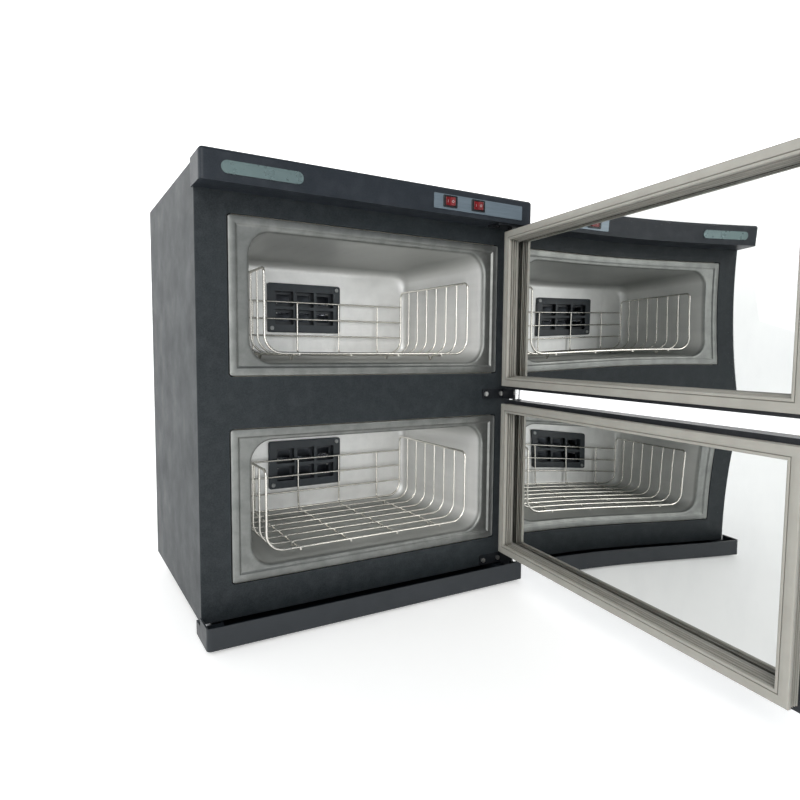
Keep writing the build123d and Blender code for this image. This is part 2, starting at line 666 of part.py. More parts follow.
def door_frame(level):
    cz = door_centre(level)
    frame = ring(cz, DOOR_W, DOOR_H, BEZEL_X, BEZEL_Z, 3.0, 4.0, DOOR_Y0, DOOR_Y1)
    outer_front = frame.edges().group_by(Axis.Y)[0]
    frame = chamfer(outer_front, 1.0)
    # Rebate that the glass and the retainer drop into from behind.
    frame -= slab(0, cz, DOOR_W - 2 * BEZEL_X + 2 * GLASS_LAP, DOOR_H - 2 * BEZEL_Z + 2 * GLASS_LAP,
                  4.0, GLASS_Y0, DOOR_Y1 + 1)
    z0, z1 = door_z(level)
    frame -= upright(HINGE_X, HINGE_Y, z0 - 1, z0 + BUSH_LEN, BUSH_R)
    frame -= upright(HINGE_X, HINGE_Y, z1 - BUSH_LEN, z1 + 1, BUSH_R)
    return frame


def door_glass(level):
    return slab(0, door_centre(level), DOOR_W - 2 * BEZEL_X + 2 * GLASS_LAP - 1,
                DOOR_H - 2 * BEZEL_Z + 2 * GLASS_LAP - 1, 3.5, GLASS_Y0, GLASS_Y1)


def door_retainer(level):
    """Bevelled inner ring that clamps the glass."""
    cz = door_centre(level)
    w = DOOR_W - 2 * BEZEL_X + 2 * GLASS_LAP - 0.4
    h = DOOR_H - 2 * BEZEL_Z + 2 * GLASS_LAP - 0.4
    outer = slab(0, cz, w, h, 3.8, GLASS_Y1, DOOR_Y1)
    front = RectangleRounded(w - 2 * RETAINER_W, h - 2 * RETAINER_W, 3)
    back = RectangleRounded(w - 2 * RETAINER_W + 7, h - 2 * RETAINER_W + 7, 4)
    hole = loft([Location((0, GLASS_Y1 - 0.01, cz)) * (Plane.XZ * front),
                 Location((0, DOOR_Y1 + 0.01, cz)) * (Plane.XZ * back)])
    return outer - hole


def gasket_layers():
    """Inset from the gasket's outer edge, width, and the two depths of each fold."""
    return ((1.0, 13.0, DOOR_Y1, DOOR_Y1 + 2.6),
            (4.0, 8.0, DOOR_Y1 + 2.6, DOOR_Y1 + 4.4),
            (1.5, 12.5, DOOR_Y1 + 4.4, DOOR_Y1 + 6.0),
            (4.0, 7.5, DOOR_Y1 + 6.0, DOOR_Y1 + 7.8),
            (1.0, 13.5, DOOR_Y1 + 7.8, DOOR_Y1 + 9.0),
            (2.5, 8.0, DOOR_Y1 + 9.0, GASKET_FACE - STRIP_T),
            (0.0, STRIP_W, GASKET_FACE - STRIP_T, GASKET_FACE))


def door_gasket(level):
    cz = door_centre(level)
    gasket = None
    for inset, width, y0, y1 in gasket_layers():
        fold = ring(cz, GASKET_W - 2 * inset, GASKET_H - 2 * inset, width, width, 2.0, 1.5, y0, y1)
        gasket = fold if gasket is None else gasket + fold
    for bar in magnet_bars(cz, 0.1):
        gasket -= bar
    return gasket


def magnet_bars(cz, grow):
    """Four magnet strips inside the gasket's flat face."""
    y0, y1 = GASKET_FACE - 2.6 - grow, GASKET_FACE - 1.0 + grow
    mid = STRIP_W / 2
    long_x, long_z = GASKET_W / 2 - STRIP_W - 2, GASKET_H / 2 - STRIP_W - 2
    bars = []
    for s in (-1, 1):
        x = s * (GASKET_W / 2 - mid)
        z = cz + s * (GASKET_H / 2 - mid)
        bars.append(block(x - 3 - grow, x + 3 + grow, y0, y1, cz - long_z - grow, cz + long_z + grow))
        bars.append(block(-long_x - grow, long_x + grow, y0, y1, z - 3 - grow, z + 3 + grow))
    return bars


def magnet_strips(level):
    bars = magnet_bars(door_centre(level), 0.0)
    group = bars[0]
    for bar in bars[1:]:
        group += bar
    return group


def door_bushes(level):
    z0, z1 = door_z(level)
    group = None
    for a, b in ((z0, z0 + BUSH_LEN), (z1 - BUSH_LEN, z1)):
        one = upright(HINGE_X, HINGE_Y, a, b, BUSH_R)
        one -= upright(HINGE_X, HINGE_Y, a - 1, b + 1, PIN_R + PIN_CLEARANCE)
        group = one if group is None else group + one
    return group


def door_handle(level):
    """Lipped pull on the free edge of the door's outer face."""
    cz = door_centre(level)
    x0, length = -219.0, 118.0
    profile = Polyline((0, 0), (0, -15.5), (4.5, -19.0), (13.0, -19.0), (13.0, -15.6), (6.5, -15.0),
                       (4.5, -12.5), (4.5, -4.5), (7.0, -2.6), (19.0, -2.6), (19.0, 0), close=True)
    pull = extrude(make_face(profile), amount=length / 2, both=True)
    pull = fillet(pull.edges().filter_by(Axis.Z).group_by(Axis.Y)[0], 1.2)
    return Location((x0, DOOR_Y0, cz)) * pull


def opened(shape):
    """Swing a door piece from closed to its rest position."""
    out = Location((HINGE_X, HINGE_Y, 0)) * Rotation(0, 0, DOOR_OPEN)
    return out * Location((-HINGE_X, -HINGE_Y, 0)) * shape


# ---------------------------------------------------------------- baskets
def basket(base):
    zf = base + FLOOR_RISE
    zr = zf + FENCE_H
    x0, x1, y0, y1 = BASKET_X0, BASKET_X1, BASKET_Y0, BASKET_Y1
    ym = (y0 + y1) / 2
    bends = (RAIL_BEND, FLOOR_BEND, FLOOR_BEND, RAIL_BEND)
    wires = []
    for y in (y0, y1):
        wires.append(bent_wire([(x0, ym, zr), (x0, y, zr), (x0, y, zf), (x1, y, zf), (x1, y, zr),
                                (x1, ym, zr)], bends, RAIL))
    step = (y1 - y0) / 7
    for i in range(1, 7):
        y = y0 + i * step
        wires.append(bent_wire([(x0, y, zr), (x0, y, zf), (x1, y, zf), (x1, y, zr)],
                               (FLOOR_BEND, FLOOR_BEND), WIRE))
    zc = zf - (WIRE + RAIL) / 2 + 0.5
    tip = base + FOOT_GAP + WIRE / 2
    yr = y1 + (WIRE + RAIL) / 2 - 0.5
    z_top = zf + BACK_RAILS[-1]
    for x in CROSS_X:
        if x in (CROSS_X[0], CROSS_X[-1]):
            points, bend = [(x, y0 - 1, zc)], []
            for yt in (y0 + 28, y1 - 30):
                points += [(x, yt - 6, zc), (x, yt, tip), (x, yt + 6, zc)]
                bend += [2.0, 1.6, 2.0]
            wires.append(bent_wire(points + [(x, yr, zc), (x, yr, z_top)], bend + [9.0], WIRE))
        else:
            wires.append(bent_wire([(x, y0 - 1, zc), (x, yr, zc), (x, yr, z_top)], [9.0], WIRE))
    for rise in BACK_RAILS:
        wires.append(rod((x0, y1, zf + rise), (x1, y1, zf + rise), WIRE))
    whole = wires[0]
    for wire in wires[1:]:
        whole += wire
    return Compound(children=basket_lengths(whole, zf))


def basket_lengths(whole, zf):
    """The welded basket parted at its bends: floor, two side fences, back fence and the bends."""
    x0, x1, y0, y1 = BASKET_X0, BASKET_X1, BASKET_Y0 - 10, BASKET_Y1 + 20
    edge = RAIL / 2 + 0.45
    front1 = BASKET_Y1 - edge
    run = FLOOR_BEND + 0.9
    bend = zf + run
    low, high = zf - 40, zf + FENCE_H + 10
    regions = [
        block(x0 - 10, x1 + 10, front1, y1, low, high),
        block(x0 - 10, x0 + run, y0, front1, bend, high),
        block(x1 - run, x1 + 10, y0, front1, bend, high),
        block(x0 - 10, x0 + run, y0, front1, low, bend),
        block(x1 - run, x1 + 10, y0, front1, low, bend),
        block(x0 + run, x1 - run, y0, front1, low, high),
    ]
    lengths = []
    for region in regions:
        lengths += (whole & region).solids()
    return lengths


def main():
    os.makedirs("parts", exist_ok=True)
    save("front_panel", front_panel())
    save("left_side_panel", side_panel(-1))
    save("right_side_panel", side_panel(1))
    save("top_panel", top_panel())
    save("bottom_panel", bottom_panel())
    save("back_panel", back_panel())
    save("back_panel_screws", back_screws())
    save("cord_gland", cord_gland())
    save("thermostats", thermostats())
    save("thermal_fuses", thermal_fuses())
    save("lamp_cover_screws", lamp_cover_screws())
    save("lamp_holders", lamp_holders())
    save("lamp_ballast", lamp_ballast())
    save("terminal_block", terminal_block())
    save("top_fascia", top_fascia())
    save("control_plate", control_plate())
    save("badge", badge())
    save("middle_hinge_bracket", hinge_bracket(BRACKETS["middle"]))
    save("bottom_hinge_bracket", hinge_bracket(BRACKETS["bottom"]))
    save("top_hinge_plate", top_hinge_plate())
    save("hinge_screws", hinge_screws())
    save("top_hinge_pin", top_hinge_pin())
    save("middle_hinge_pin", middle_hinge_pin())
    save("bottom_hinge_pin", bottom_hinge_pin())
    save("hinge_washers", hinge_washers())
    save("rubber_feet", rubber_feet())
    save("tray_runners", tray_runners())
    save("drip_tray", drip_tray())
    for name, x in SWITCHES.items():
        save(f"{name}_switch_body", switch_body(x))
        save(f"{name}_rocker", rocker(x))
    for level, base in CHAMBER_BASES.items():
        save(f"{level}_liner", liner(base))
        save(f"{level}_insulation", insulation(base))
        save(f"{level}_heater_pad", heater_pad(base))
        save(f"{level}_lamp_cover", lamp_cover(base))
        save(f"{level}_lamp_housing", lamp_housing(base))
        save(f"{level}_uv_lamp", uv_lamp(base))
        save(f"{level}_basket", basket(base))
        save(f"{level}_door_frame", opened(door_frame(level)))
        save(f"{level}_door_glass", opened(door_glass(level)))
        save(f"{level}_door_retainer", opened(door_retainer(level)))
        save(f"{level}_door_gasket", opened(door_gasket(level)))
        save(f"{level}_door_magnets", opened(magnet_strips(level)))
        save(f"{level}_door_bushes", opened(door_bushes(level)))
        save(f"{level}_door_handle", opened(door_handle(level)))


main()
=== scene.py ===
import json
import math

import bmesh
import bpy
from mathutils import Matrix, Quaternion, Vector

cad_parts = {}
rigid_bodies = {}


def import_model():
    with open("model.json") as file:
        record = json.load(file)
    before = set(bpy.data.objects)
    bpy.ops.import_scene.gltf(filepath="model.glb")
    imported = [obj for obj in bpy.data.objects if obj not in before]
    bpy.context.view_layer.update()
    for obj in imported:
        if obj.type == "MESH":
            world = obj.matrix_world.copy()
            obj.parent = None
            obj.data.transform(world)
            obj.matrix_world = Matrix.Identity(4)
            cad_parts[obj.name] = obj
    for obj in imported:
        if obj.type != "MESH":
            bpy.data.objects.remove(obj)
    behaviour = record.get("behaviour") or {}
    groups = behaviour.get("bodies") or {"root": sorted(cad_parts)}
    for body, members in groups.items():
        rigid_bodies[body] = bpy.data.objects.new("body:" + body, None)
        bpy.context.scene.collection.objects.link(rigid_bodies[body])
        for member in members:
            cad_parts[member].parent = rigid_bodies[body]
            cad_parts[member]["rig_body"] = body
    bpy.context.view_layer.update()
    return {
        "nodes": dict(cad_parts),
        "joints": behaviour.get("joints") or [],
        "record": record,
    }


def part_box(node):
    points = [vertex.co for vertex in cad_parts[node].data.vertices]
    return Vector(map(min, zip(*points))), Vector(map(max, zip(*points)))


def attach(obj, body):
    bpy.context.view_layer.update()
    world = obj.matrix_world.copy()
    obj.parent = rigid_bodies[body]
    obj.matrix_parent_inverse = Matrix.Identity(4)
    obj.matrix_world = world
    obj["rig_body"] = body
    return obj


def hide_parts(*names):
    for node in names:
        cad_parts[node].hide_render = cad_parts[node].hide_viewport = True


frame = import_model()
NODES = frame["nodes"]
LEVELS = ("upper", "lower")
MM = 0.001


# ------------------------------------------------------------------ node helpers
class Surface:
    """A Principled material, with short calls for the nodes that feed it."""

    def __init__(self, name, **fixed):
        self.material = bpy.data.materials.new(name)
        self.material.use_nodes = True
        self.tree = self.material.node_tree
        self.shader = self.tree.nodes["Principled BSDF"]
        self.place = self.node("ShaderNodeTexCoord").outputs["Object"]
        for key, value in fixed.items():
            self.shader.inputs[key.replace("_", " ")].default_value = value

    @classmethod
    def of(cls, material):
        """The helper for a material that is already made."""
        made = cls.__new__(cls)
        made.material, made.tree = material, material.node_tree
        made.shader = made.tree.nodes["Principled BSDF"]
        made.place = made.node("ShaderNodeTexCoord").outputs["Object"]
        return made

    def node(self, kind, **settings):
        made = self.tree.nodes.new(kind)
        for key, value in settings.items():
            setattr(made, key, value)
        return made

    def feed(self, socket, value):
        """Links an output, or sets a plain value."""
        if isinstance(value, bpy.types.NodeSocket):
            self.tree.links.new(value, socket)
        else:
            socket.default_value = value

    def stretched(self, scale):
        """Object coordinates multiplied per axis, for grain that runs one way."""
        mapping = self.node("ShaderNodeMapping")
        self.feed(mapping.inputs["Vector"], self.place)
        mapping.inputs["Scale"].default_value = scale
        return mapping.outputs["Vector"]

    def noise(self, scale, detail=3.0, rough=0.5, place=None, distort=0.0):
        made = self.node("ShaderNodeTexNoise")
        self.feed(made.inputs["Vector"], place or self.place)
        made.inputs["Scale"].default_value = scale
        made.inputs["Detail"].default_value = detail
        made.inputs["Roughness"].default_value = rough
        made.inputs["Distortion"].default_value = distort
        return made.outputs["Fac"]

    def cells(self, scale, feature="F1", place=None):
        made = self.node("ShaderNodeTexVoronoi", feature=feature)
        self.feed(made.inputs["Vector"], place or self.place)
        made.inputs["Scale"].default_value = scale
        return made.outputs["Distance"]

    def spread(self, value, low, high, to_low=0.0, to_high=1.0):
        """Maps low..high onto to_low..to_high, clamped."""
        made = self.node("ShaderNodeMapRange")
        self.feed(made.inputs["Value"], value)
        for key, number in zip(("From Min", "From Max", "To Min", "To Max"), (low, high, to_low, to_high)):
            made.inputs[key].default_value = number
        return made.outputs["Result"]

    def math(self, operation, a, b=0.0):
        made = self.node("ShaderNodeMath", operation=operation)
        self.feed(made.inputs[0], a)
        self.feed(made.inputs[1], b)
        return made.outputs[0]

    def blend(self, share, a, b):
        """Colour a where share is 0 and b where it is 1."""
        made = self.node("ShaderNodeMix", data_type="RGBA")
        self.feed(made.inputs[0], share)
        self.feed(made.inputs[6], a)
        self.feed(made.inputs[7], b)
        return made.outputs[2]

    def edges(self, low=0.52, high=0.62):
        """1 on sharp outer edges, 0 on flats."""
        point = self.node("ShaderNodeNewGeometry").outputs["Pointiness"]
        return self.spread(point, low, high)

    def corners(self, distance=0.01, samples=4):
        """Ambient-occlusion share, 1 in the open, falling to 0 deep in corners; the materials use it to
        paint shade.
        """
        made = self.node("ShaderNodeAmbientOcclusion", samples=samples, only_local=False)
        made.inputs["Distance"].default_value = distance
        return made.outputs["AO"]

    def axis(self, name):
        made = self.node("ShaderNodeSeparateXYZ")
        self.feed(made.inputs[0], self.place)
        return made.outputs[name]

    def facing(self, name):
        """How far the surface faces along an axis, -1 to 1."""
        made = self.node("ShaderNodeSeparateXYZ")
        self.feed(made.inputs[0], self.node("ShaderNodeNewGeometry").outputs["Normal"])
        return made.outputs[name]

    def bump(self, height, distance, strength=1.0):
        """Adds a bump layer on top of the earlier ones."""
        made = self.node("ShaderNodeBump")
        made.inputs["Strength"].default_value = strength
        made.inputs["Distance"].default_value = distance
        self.feed(made.inputs["Height"], height)
        earlier = self.shader.inputs["Normal"].links
        if earlier:
            self.feed(made.inputs["Normal"], earlier[0].from_socket)
        self.feed(self.shader.inputs["Normal"], made.outputs["Normal"])

    def colour(self, value):
        self.feed(self.shader.inputs["Base Color"], value)

    def roughness(self, value):
        self.feed(self.shader.inputs["Roughness"], value)


def rgb(r, g, b):
    return (r, g, b, 1.0)


# ------------------------------------------------------------------ materials
# The liner's flange ends, and the chamber behind it begins, this far back.
FLANGE_END_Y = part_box("front_panel")[0].y + 0.003


def powder_coat(name, dark, light, worn, rough=(0.42, 0.55), grain=1500.0, gloss=0.22):
    """Baked coat with a fine orange-peel texture, slightly rubbed on its edges."""
    s = Surface(name, Specular_IOR_Level=gloss)
    cloud = s.spread(s.noise(9.0, 4.0), 0.35, 0.65)
    speck = s.spread(s.noise(grain * 0.6, 2.0), 0.35, 0.65)
    base = s.blend(s.math("MULTIPLY", speck, 0.35), s.blend(cloud, dark, light), worn)
    rubbed = s.math("MULTIPLY", s.edges(), s.spread(s.noise(60.0, 5.0), 0.45, 0.7))
    s.colour(s.blend(s.math("MULTIPLY", rubbed, 0.35), base, worn))
    s.roughness(s.spread(s.noise(22.0, 5.0, 0.6), 0.3, 0.7, *rough))
    s.bump(s.noise(grain, 2.0, 0.55), 0.00012, 0.55)
    s.bump(s.cells(grain * 0.45, "SMOOTH_F1"), 0.00012, 0.25)
    return s.material


def moulded(name, dark, light, rough=(0.4, 0.52), grain=2600.0, depth=0.00004, deep=None):
    """Fine-grained injection-moulded plastic; deep gives the reach and colour of painted shade in its
    wells.
    """
    s = Surface(name, Specular_IOR_Level=0.5)
    tone_and_well_shade = s.blend(s.spread(s.noise(30.0, 4.0), 0.35, 0.65), dark, light)
    if deep:
        # painted shade: surfaces within deep[0] of others are darkened towards the colour deep[1]
        tone_and_well_shade = s.blend(s.spread(s.corners(deep[0], 8), 0.3, 0.8), deep[1], tone_and_well_shade)
    s.colour(tone_and_well_shade)
    s.roughness(s.spread(s.noise(80.0, 4.0), 0.3, 0.7, *rough))
    s.bump(s.noise(grain, 2.0), depth, 0.5)
    return s.material


def drawn_aluminium():
    """Deep-drawn sheet: satin, with faint draw streaks, haze and a few scuffs; faces that look up or down
    get painted shade.
    """
    s = Surface("drawn_aluminium", Metallic=1.0)
    streak = s.noise(55.0, 4.0, 0.6, s.stretched((1.0, 0.09, 1.0)))
    haze = s.spread(s.noise(14.0, 5.0, 0.6), 0.3, 0.7)
    inside = s.spread(s.axis("Y"), FLANGE_END_Y, FLANGE_END_Y + 0.007)
    flange = s.blend(s.spread(streak, 0.4, 0.62), rgb(0.27, 0.278, 0.266), rgb(0.22, 0.227, 0.218))
    bright = s.blend(s.spread(streak, 0.4, 0.62), rgb(0.97, 0.97, 0.955), rgb(0.91, 0.912, 0.90))
    walls = s.blend(s.math("MULTIPLY", haze, 0.4), bright, rgb(0.86, 0.86, 0.84))
    # painted shade: chamber faces looking up or down (ceiling and floor) are darkened towards rgb(0.40,
    # 0.41, 0.395)
    level = s.spread(s.math("ABSOLUTE", s.facing("Z")), 0.3, 0.95)
    s.colour(s.blend(inside, flange, s.blend(level, walls, rgb(0.40, 0.41, 0.395))))
    s.feed(s.shader.inputs["Metallic"], s.spread(inside, 0.0, 1.0, 1.0, 0.42))
    scuff = s.spread(s.noise(190.0, 3.0, 0.7, s.stretched((1.0, 0.3, 0.25))), 0.62, 0.72)
    rough = s.math("ADD", s.spread(streak, 0.3, 0.7, 0.44, 0.50), s.math("MULTIPLY", inside, -0.08))
    s.roughness(s.math("ADD", rough, s.math("MULTIPLY", scuff, 0.12)))
    s.bump(s.noise(7.0, 2.0), 0.0005, 0.2)
    s.bump(streak, 0.00005, 0.35)
    s.bump(s.noise(1900.0, 2.0), 0.00002, 0.35)
    return s.material


def plated(name, tint, rough, lines=(1.0, 1.0, 1.0), dirt=0.25):
    """Bright plated or polished steel with faint drawing lines and tarnish."""
    s = Surface(name, Metallic=1.0)
    dull = rgb(*(c * 0.72 for c in tint))
    grain = s.noise(420.0, 4.0, 0.6, s.stretched(lines))
    tarnish = s.math("MULTIPLY", s.spread(s.noise(45.0, 5.0), 0.45, 0.72), dirt)
    s.colour(s.blend(tarnish, rgb(*tint), dull))
    s.roughness(s.spread(grain, 0.3, 0.7, rough * 0.75, rough * 1.35))
    s.bump(grain, 0.000008, 0.3)
    return s.material


def hinge_screws():
    """Nickel screws; the ones up under the fascia are coloured near-black."""
    material = plated("hinge_screws", (0.86, 0.85, 0.82), 0.34, dirt=0.1)
    s = Surface.of(material)
    high = s.spread(s.axis("Z"), 0.48, 0.49)
    s.colour(s.blend(high, s.shader.inputs["Base Color"].links[0].from_socket, rgb(0.03, 0.03, 0.032)))
    return material


def mirror_glass():
    """Dark mirror-coated glass, faintly smeared."""
    s = Surface("mirror_glass", Metallic=1.0)
    smear = s.spread(s.noise(18.0, 6.0, 0.65, s.stretched((1.0, 1.0, 0.4))), 0.45, 0.75)
    s.colour(s.blend(smear, rgb(0.70, 0.71, 0.70), rgb(0.66, 0.67, 0.665)))
    s.roughness(s.math("MULTIPLY", smear, 0.035))
    s.bump(s.noise(3.5, 1.0), 0.0004, 0.03)
    return s.material


def smoked_face():
    """The pane's outer face: dark and glossy, with faint finger smears."""
    s = Surface("smoked_face", Specular_IOR_Level=0.6)
    smear = s.spread(s.noise(22.0, 6.0, 0.65), 0.45, 0.75)
    s.colour(s.blend(smear, rgb(0.006, 0.0065, 0.007), rgb(0.012, 0.0125, 0.013)))
    s.roughness(s.spread(smear, 0.0, 1.0, 0.04, 0.14))
    s.bump(s.noise(3.5, 1.0), 0.0004, 0.03)
    return s.material


def vinyl():
    """Soft warm-grey magnetic gasket, with painted shade down in its folds."""
    s = Surface("gasket_vinyl", Subsurface_Weight=0.05, Subsurface_Scale=0.003, Sheen_Weight=0.05)
    out_of_fold_shade = s.spread(s.corners(0.006, 8), 0.35, 0.9)
    mottle = s.spread(s.noise(40.0, 4.0), 0.35, 0.65)
    face = s.blend(mottle, rgb(0.345, 0.335, 0.30), rgb(0.315, 0.305, 0.272))
    # painted shade: the folds, found by ambient occlusion, are coloured dark brown-grey
    s.colour(s.blend(out_of_fold_shade, rgb(0.13, 0.125, 0.105), face))
    s.roughness(s.spread(s.noise(160.0, 3.0), 0.3, 0.7, 0.42, 0.58))
    s.bump(s.noise(900.0, 3.0), 0.00004, 0.4)
    s.bump(s.noise(60.0, 2.0), 0.0004, 0.25)
    return s.material


def red_rocker():
    """Translucent red cap."""
    s = Surface("rocker_red", Transmission_Weight=0.12, IOR=1.49, Coat_Weight=0.4, Coat_Roughness=0.08)
    cloud = s.spread(s.noise(160.0, 3.0), 0.3, 0.7)
    s.colour(s.blend(cloud, rgb(0.20, 0.006, 0.008), rgb(0.14, 0.003, 0.005)))
    s.roughness(s.spread(s.noise(500.0, 3.0), 0.3, 0.7, 0.16, 0.28))
    s.bump(s.noise(1500.0, 2.0), 0.00002, 0.3)
    return s.material


def foil(name, dark, light, metallic=0.35):
    """Printed metal foil with a fine brushed line."""
    s = Surface(name, Metallic=metallic, Coat_Weight=0.25, Coat_Roughness=0.2)
    line = s.noise(900.0, 3.0, 0.6, s.stretched((0.04, 1.0, 1.0)))
    s.colour(s.blend(s.spread(line, 0.35, 0.65), dark, light))
    s.roughness(s.spread(s.noise(70.0, 4.0), 0.3, 0.7, 0.3, 0.42))
    s.bump(line, 0.00002, 0.4)
    return s.material


def pearl_badge():
    """Pearl foil with a fine wave pattern whose tint drifts along the badge."""
    s = Surface("badge_pearl", Metallic=0.45, Coat_Weight=0.5, Coat_Roughness=0.12)
    wave = s.node("ShaderNodeTexWave", wave_type="BANDS", bands_direction="Z")
    s.feed(wave.inputs["Vector"], s.place)
    wave.inputs["Scale"].default_value = 700.0
    wave.inputs["Distortion"].default_value = 0.4
    line = s.spread(wave.outputs["Fac"], 0.6, 0.9)
    drift = s.spread(s.noise(16.0, 2.0, 0.5), 0.3, 0.7)
    tint = s.blend(drift, rgb(0.09, 0.30, 0.32), rgb(0.11, 0.25, 0.34))
    s.colour(s.blend(s.math("MULTIPLY", line, 0.3), rgb(0.17, 0.22, 0.215), tint))
    s.roughness(s.spread(s.noise(120.0, 3.0), 0.3, 0.7, 0.24, 0.36))
    s.bump(line, 0.00003, 0.4)
    return s.material


def silicone_pad():
    """Heater pad with its wire track showing through."""
    s = Surface("heater_silicone")
    wave = s.node("ShaderNodeTexWave", wave_type="BANDS", bands_direction="X")
    s.feed(wave.inputs["Vector"], s.place)
    wave.inputs["Scale"].default_value = 26.0
    track = s.spread(wave.outputs["Fac"], 0.75, 0.95)
    s.colour(s.blend(track, rgb(0.42, 0.12, 0.06), rgb(0.55, 0.2, 0.12)))
    s.roughness(s.spread(s.noise(200.0, 3.0), 0.3, 0.7, 0.5, 0.7))
    s.bump(track, 0.0004, 0.6)
    return s.material


def felt():
    """Fibre insulation."""
    s = Surface("insulation_felt", Sheen_Weight=0.4, Sheen_Roughness=0.6)
    fibre = s.noise(500.0, 6.0, 0.75, s.stretched((1.0, 0.4, 1.0)))
    s.colour(s.blend(s.spread(fibre, 0.3, 0.7), rgb(0.62, 0.57, 0.46), rgb(0.8, 0.77, 0.68)))
    s.roughness(s.spread(fibre, 0.3, 0.7, 0.85, 1.0))
    s.bump(fibre, 0.0006, 0.8)
    return s.material


def lamp_glass():
    s = Surface("lamp_glass", Transmission_Weight=0.9, IOR=1.46)
    s.colour(s.blend(s.spread(s.noise(60.0, 3.0), 0.4, 0.7), rgb(0.9, 0.93, 1.0), rgb(0.75, 0.8, 0.95)))
    s.roughness(s.spread(s.noise(90.0, 3.0), 0.3, 0.7, 0.03, 0.12))
    return s.material


def rubber():
    s = Surface("foot_rubber")
    dust = s.spread(s.noise(90.0, 4.0), 0.35, 0.7)
    s.colour(s.blend(dust, rgb(0.016, 0.016, 0.016), rgb(0.045, 0.043, 0.04)))
    s.roughness(s.spread(s.noise(300.0, 3.0), 0.3, 0.7, 0.7, 0.9))
    s.bump(s.noise(1300.0, 3.0), 0.00008, 0.5)
    return s.material


def floor_material():
    s = Surface("studio_floor")
    s.colour(s.blend(s.spread(s.noise(3.0, 5.0), 0.3, 0.7), rgb(0.88, 0.88, 0.88), rgb(0.86, 0.86, 0.86)))
    s.shader.inputs["Emission Color"].default_value = rgb(1.0, 1.0, 0.99)
    s.feed(s.shader.inputs["Emission Strength"], s.spread(s.axis("Z"), 0.0, 1.4, 0.4, 0.8))
    s.roughness(s.spread(s.noise(12.0, 4.0), 0.3, 0.7, 0.5, 0.62))
    return s.material


MATERIALS = {
    "shell_paint": powder_coat("shell_powder", rgb(0.013, 0.017, 0.0195), rgb(0.016, 0.021, 0.0235),
                               rgb(0.045, 0.052, 0.058)),
    "fascia_paint": powder_coat("fascia_powder", rgb(0.014, 0.0185, 0.024), rgb(0.018, 0.023, 0.029),
                                rgb(0.05, 0.055, 0.065), rough=(0.36, 0.46), grain=2200.0),
    "tray_plastic": moulded("tray_plastic", rgb(0.009, 0.013, 0.017), rgb(0.012, 0.016, 0.021)),
    "liner_aluminium": drawn_aluminium(),
    "insulation_foam": felt(),
    "heater_silicone": silicone_pad(),
    # the lamp cover's wells get painted shade, near-black within 12 mm of other surfaces
    "dark_plastic": moulded("lamp_cover_plastic", rgb(0.022, 0.030, 0.038), rgb(0.030, 0.040, 0.049),
                            rough=(0.3, 0.42), deep=(0.012, rgb(0.003, 0.005, 0.009))),
    "thermostat_body": plated("thermostat_steel", (0.62, 0.62, 0.6), 0.3),
    "fuse_body": moulded("fuse_ceramic", rgb(0.78, 0.77, 0.72), rgb(0.86, 0.85, 0.8)),
    "screw_steel": plated("screw_nickel", (0.86, 0.85, 0.82), 0.34, dirt=0.1),
    "galvanised": plated("reflector_sheet", (0.10, 0.11, 0.125), 0.4, (1.0, 0.1, 1.0)),
    "lamp_glass": lamp_glass(),
    "holder_plastic": moulded("holder_plastic", rgb(0.72, 0.72, 0.69), rgb(0.8, 0.8, 0.77)),
    "ballast_case": moulded("ballast_plastic", rgb(0.6, 0.6, 0.57), rgb(0.68, 0.68, 0.65)),
    "terminal_plastic": moulded("terminal_plastic", rgb(0.66, 0.62, 0.52), rgb(0.74, 0.7, 0.6)),
    "gland_plastic": moulded("gland_plastic", rgb(0.012, 0.012, 0.012), rgb(0.02, 0.02, 0.02)),
    "control_foil": foil("control_foil", rgb(0.16, 0.205, 0.24), rgb(0.20, 0.25, 0.29)),
    "badge_foil": pearl_badge(),
    "switch_black": moulded("switch_black", rgb(0.010, 0.010, 0.011), rgb(0.016, 0.016, 0.017),
                            rough=(0.2, 0.3)),
    "rocker_red": red_rocker(),
    "bracket_paint": powder_coat("bracket_powder", rgb(0.004, 0.005, 0.007), rgb(0.006, 0.008, 0.010),
                                 rgb(0.03, 0.032, 0.036), grain=2600.0),
    "pin_chrome": plated("pin_chrome", (0.86, 0.86, 0.85), 0.08, (1.0, 1.0, 0.15), dirt=0.1),
    "washer_nylon": moulded("washer_nylon", rgb(0.010, 0.010, 0.010), rgb(0.018, 0.018, 0.018)),
    "foot_rubber": rubber(),
    "basket_wire": plated("basket_wire", (0.80, 0.775, 0.72), 0.2, (0.12, 0.12, 0.12), dirt=0.1),
    "door_frame_paint": powder_coat("door_frame_paint", rgb(0.014, 0.016, 0.019), rgb(0.019, 0.021, 0.025),
                                    rgb(0.05, 0.053, 0.058), rough=(0.34, 0.44), grain=2400.0),
    "door_glass": mirror_glass(),
    "smoked_face": smoked_face(),
    "retainer_plastic": moulded("retainer_plastic", rgb(0.20, 0.196, 0.175), rgb(0.235, 0.23, 0.205)),
    "gasket_vinyl": vinyl(),
    "magnet_bar": moulded("magnet_ferrite", rgb(0.03, 0.028, 0.026), rgb(0.05, 0.046, 0.042)),
    "bush_nylon": moulded("bush_nylon", rgb(0.02, 0.02, 0.021), rgb(0.03, 0.03, 0.031)),
    "screw_dull": plated("screw_dull", (0.30, 0.31, 0.31), 0.42, dirt=0.3),
    "hinge_screws": hinge_screws(),
    "mark_white": moulded("mark_white", rgb(0.30, 0.24, 0.24), rgb(0.36, 0.30, 0.30)),
    "handle_plastic": moulded("handle_plastic", rgb(0.012, 0.012, 0.014), rgb(0.02, 0.02, 0.022),
                              rough=(0.2, 0.3)),
}


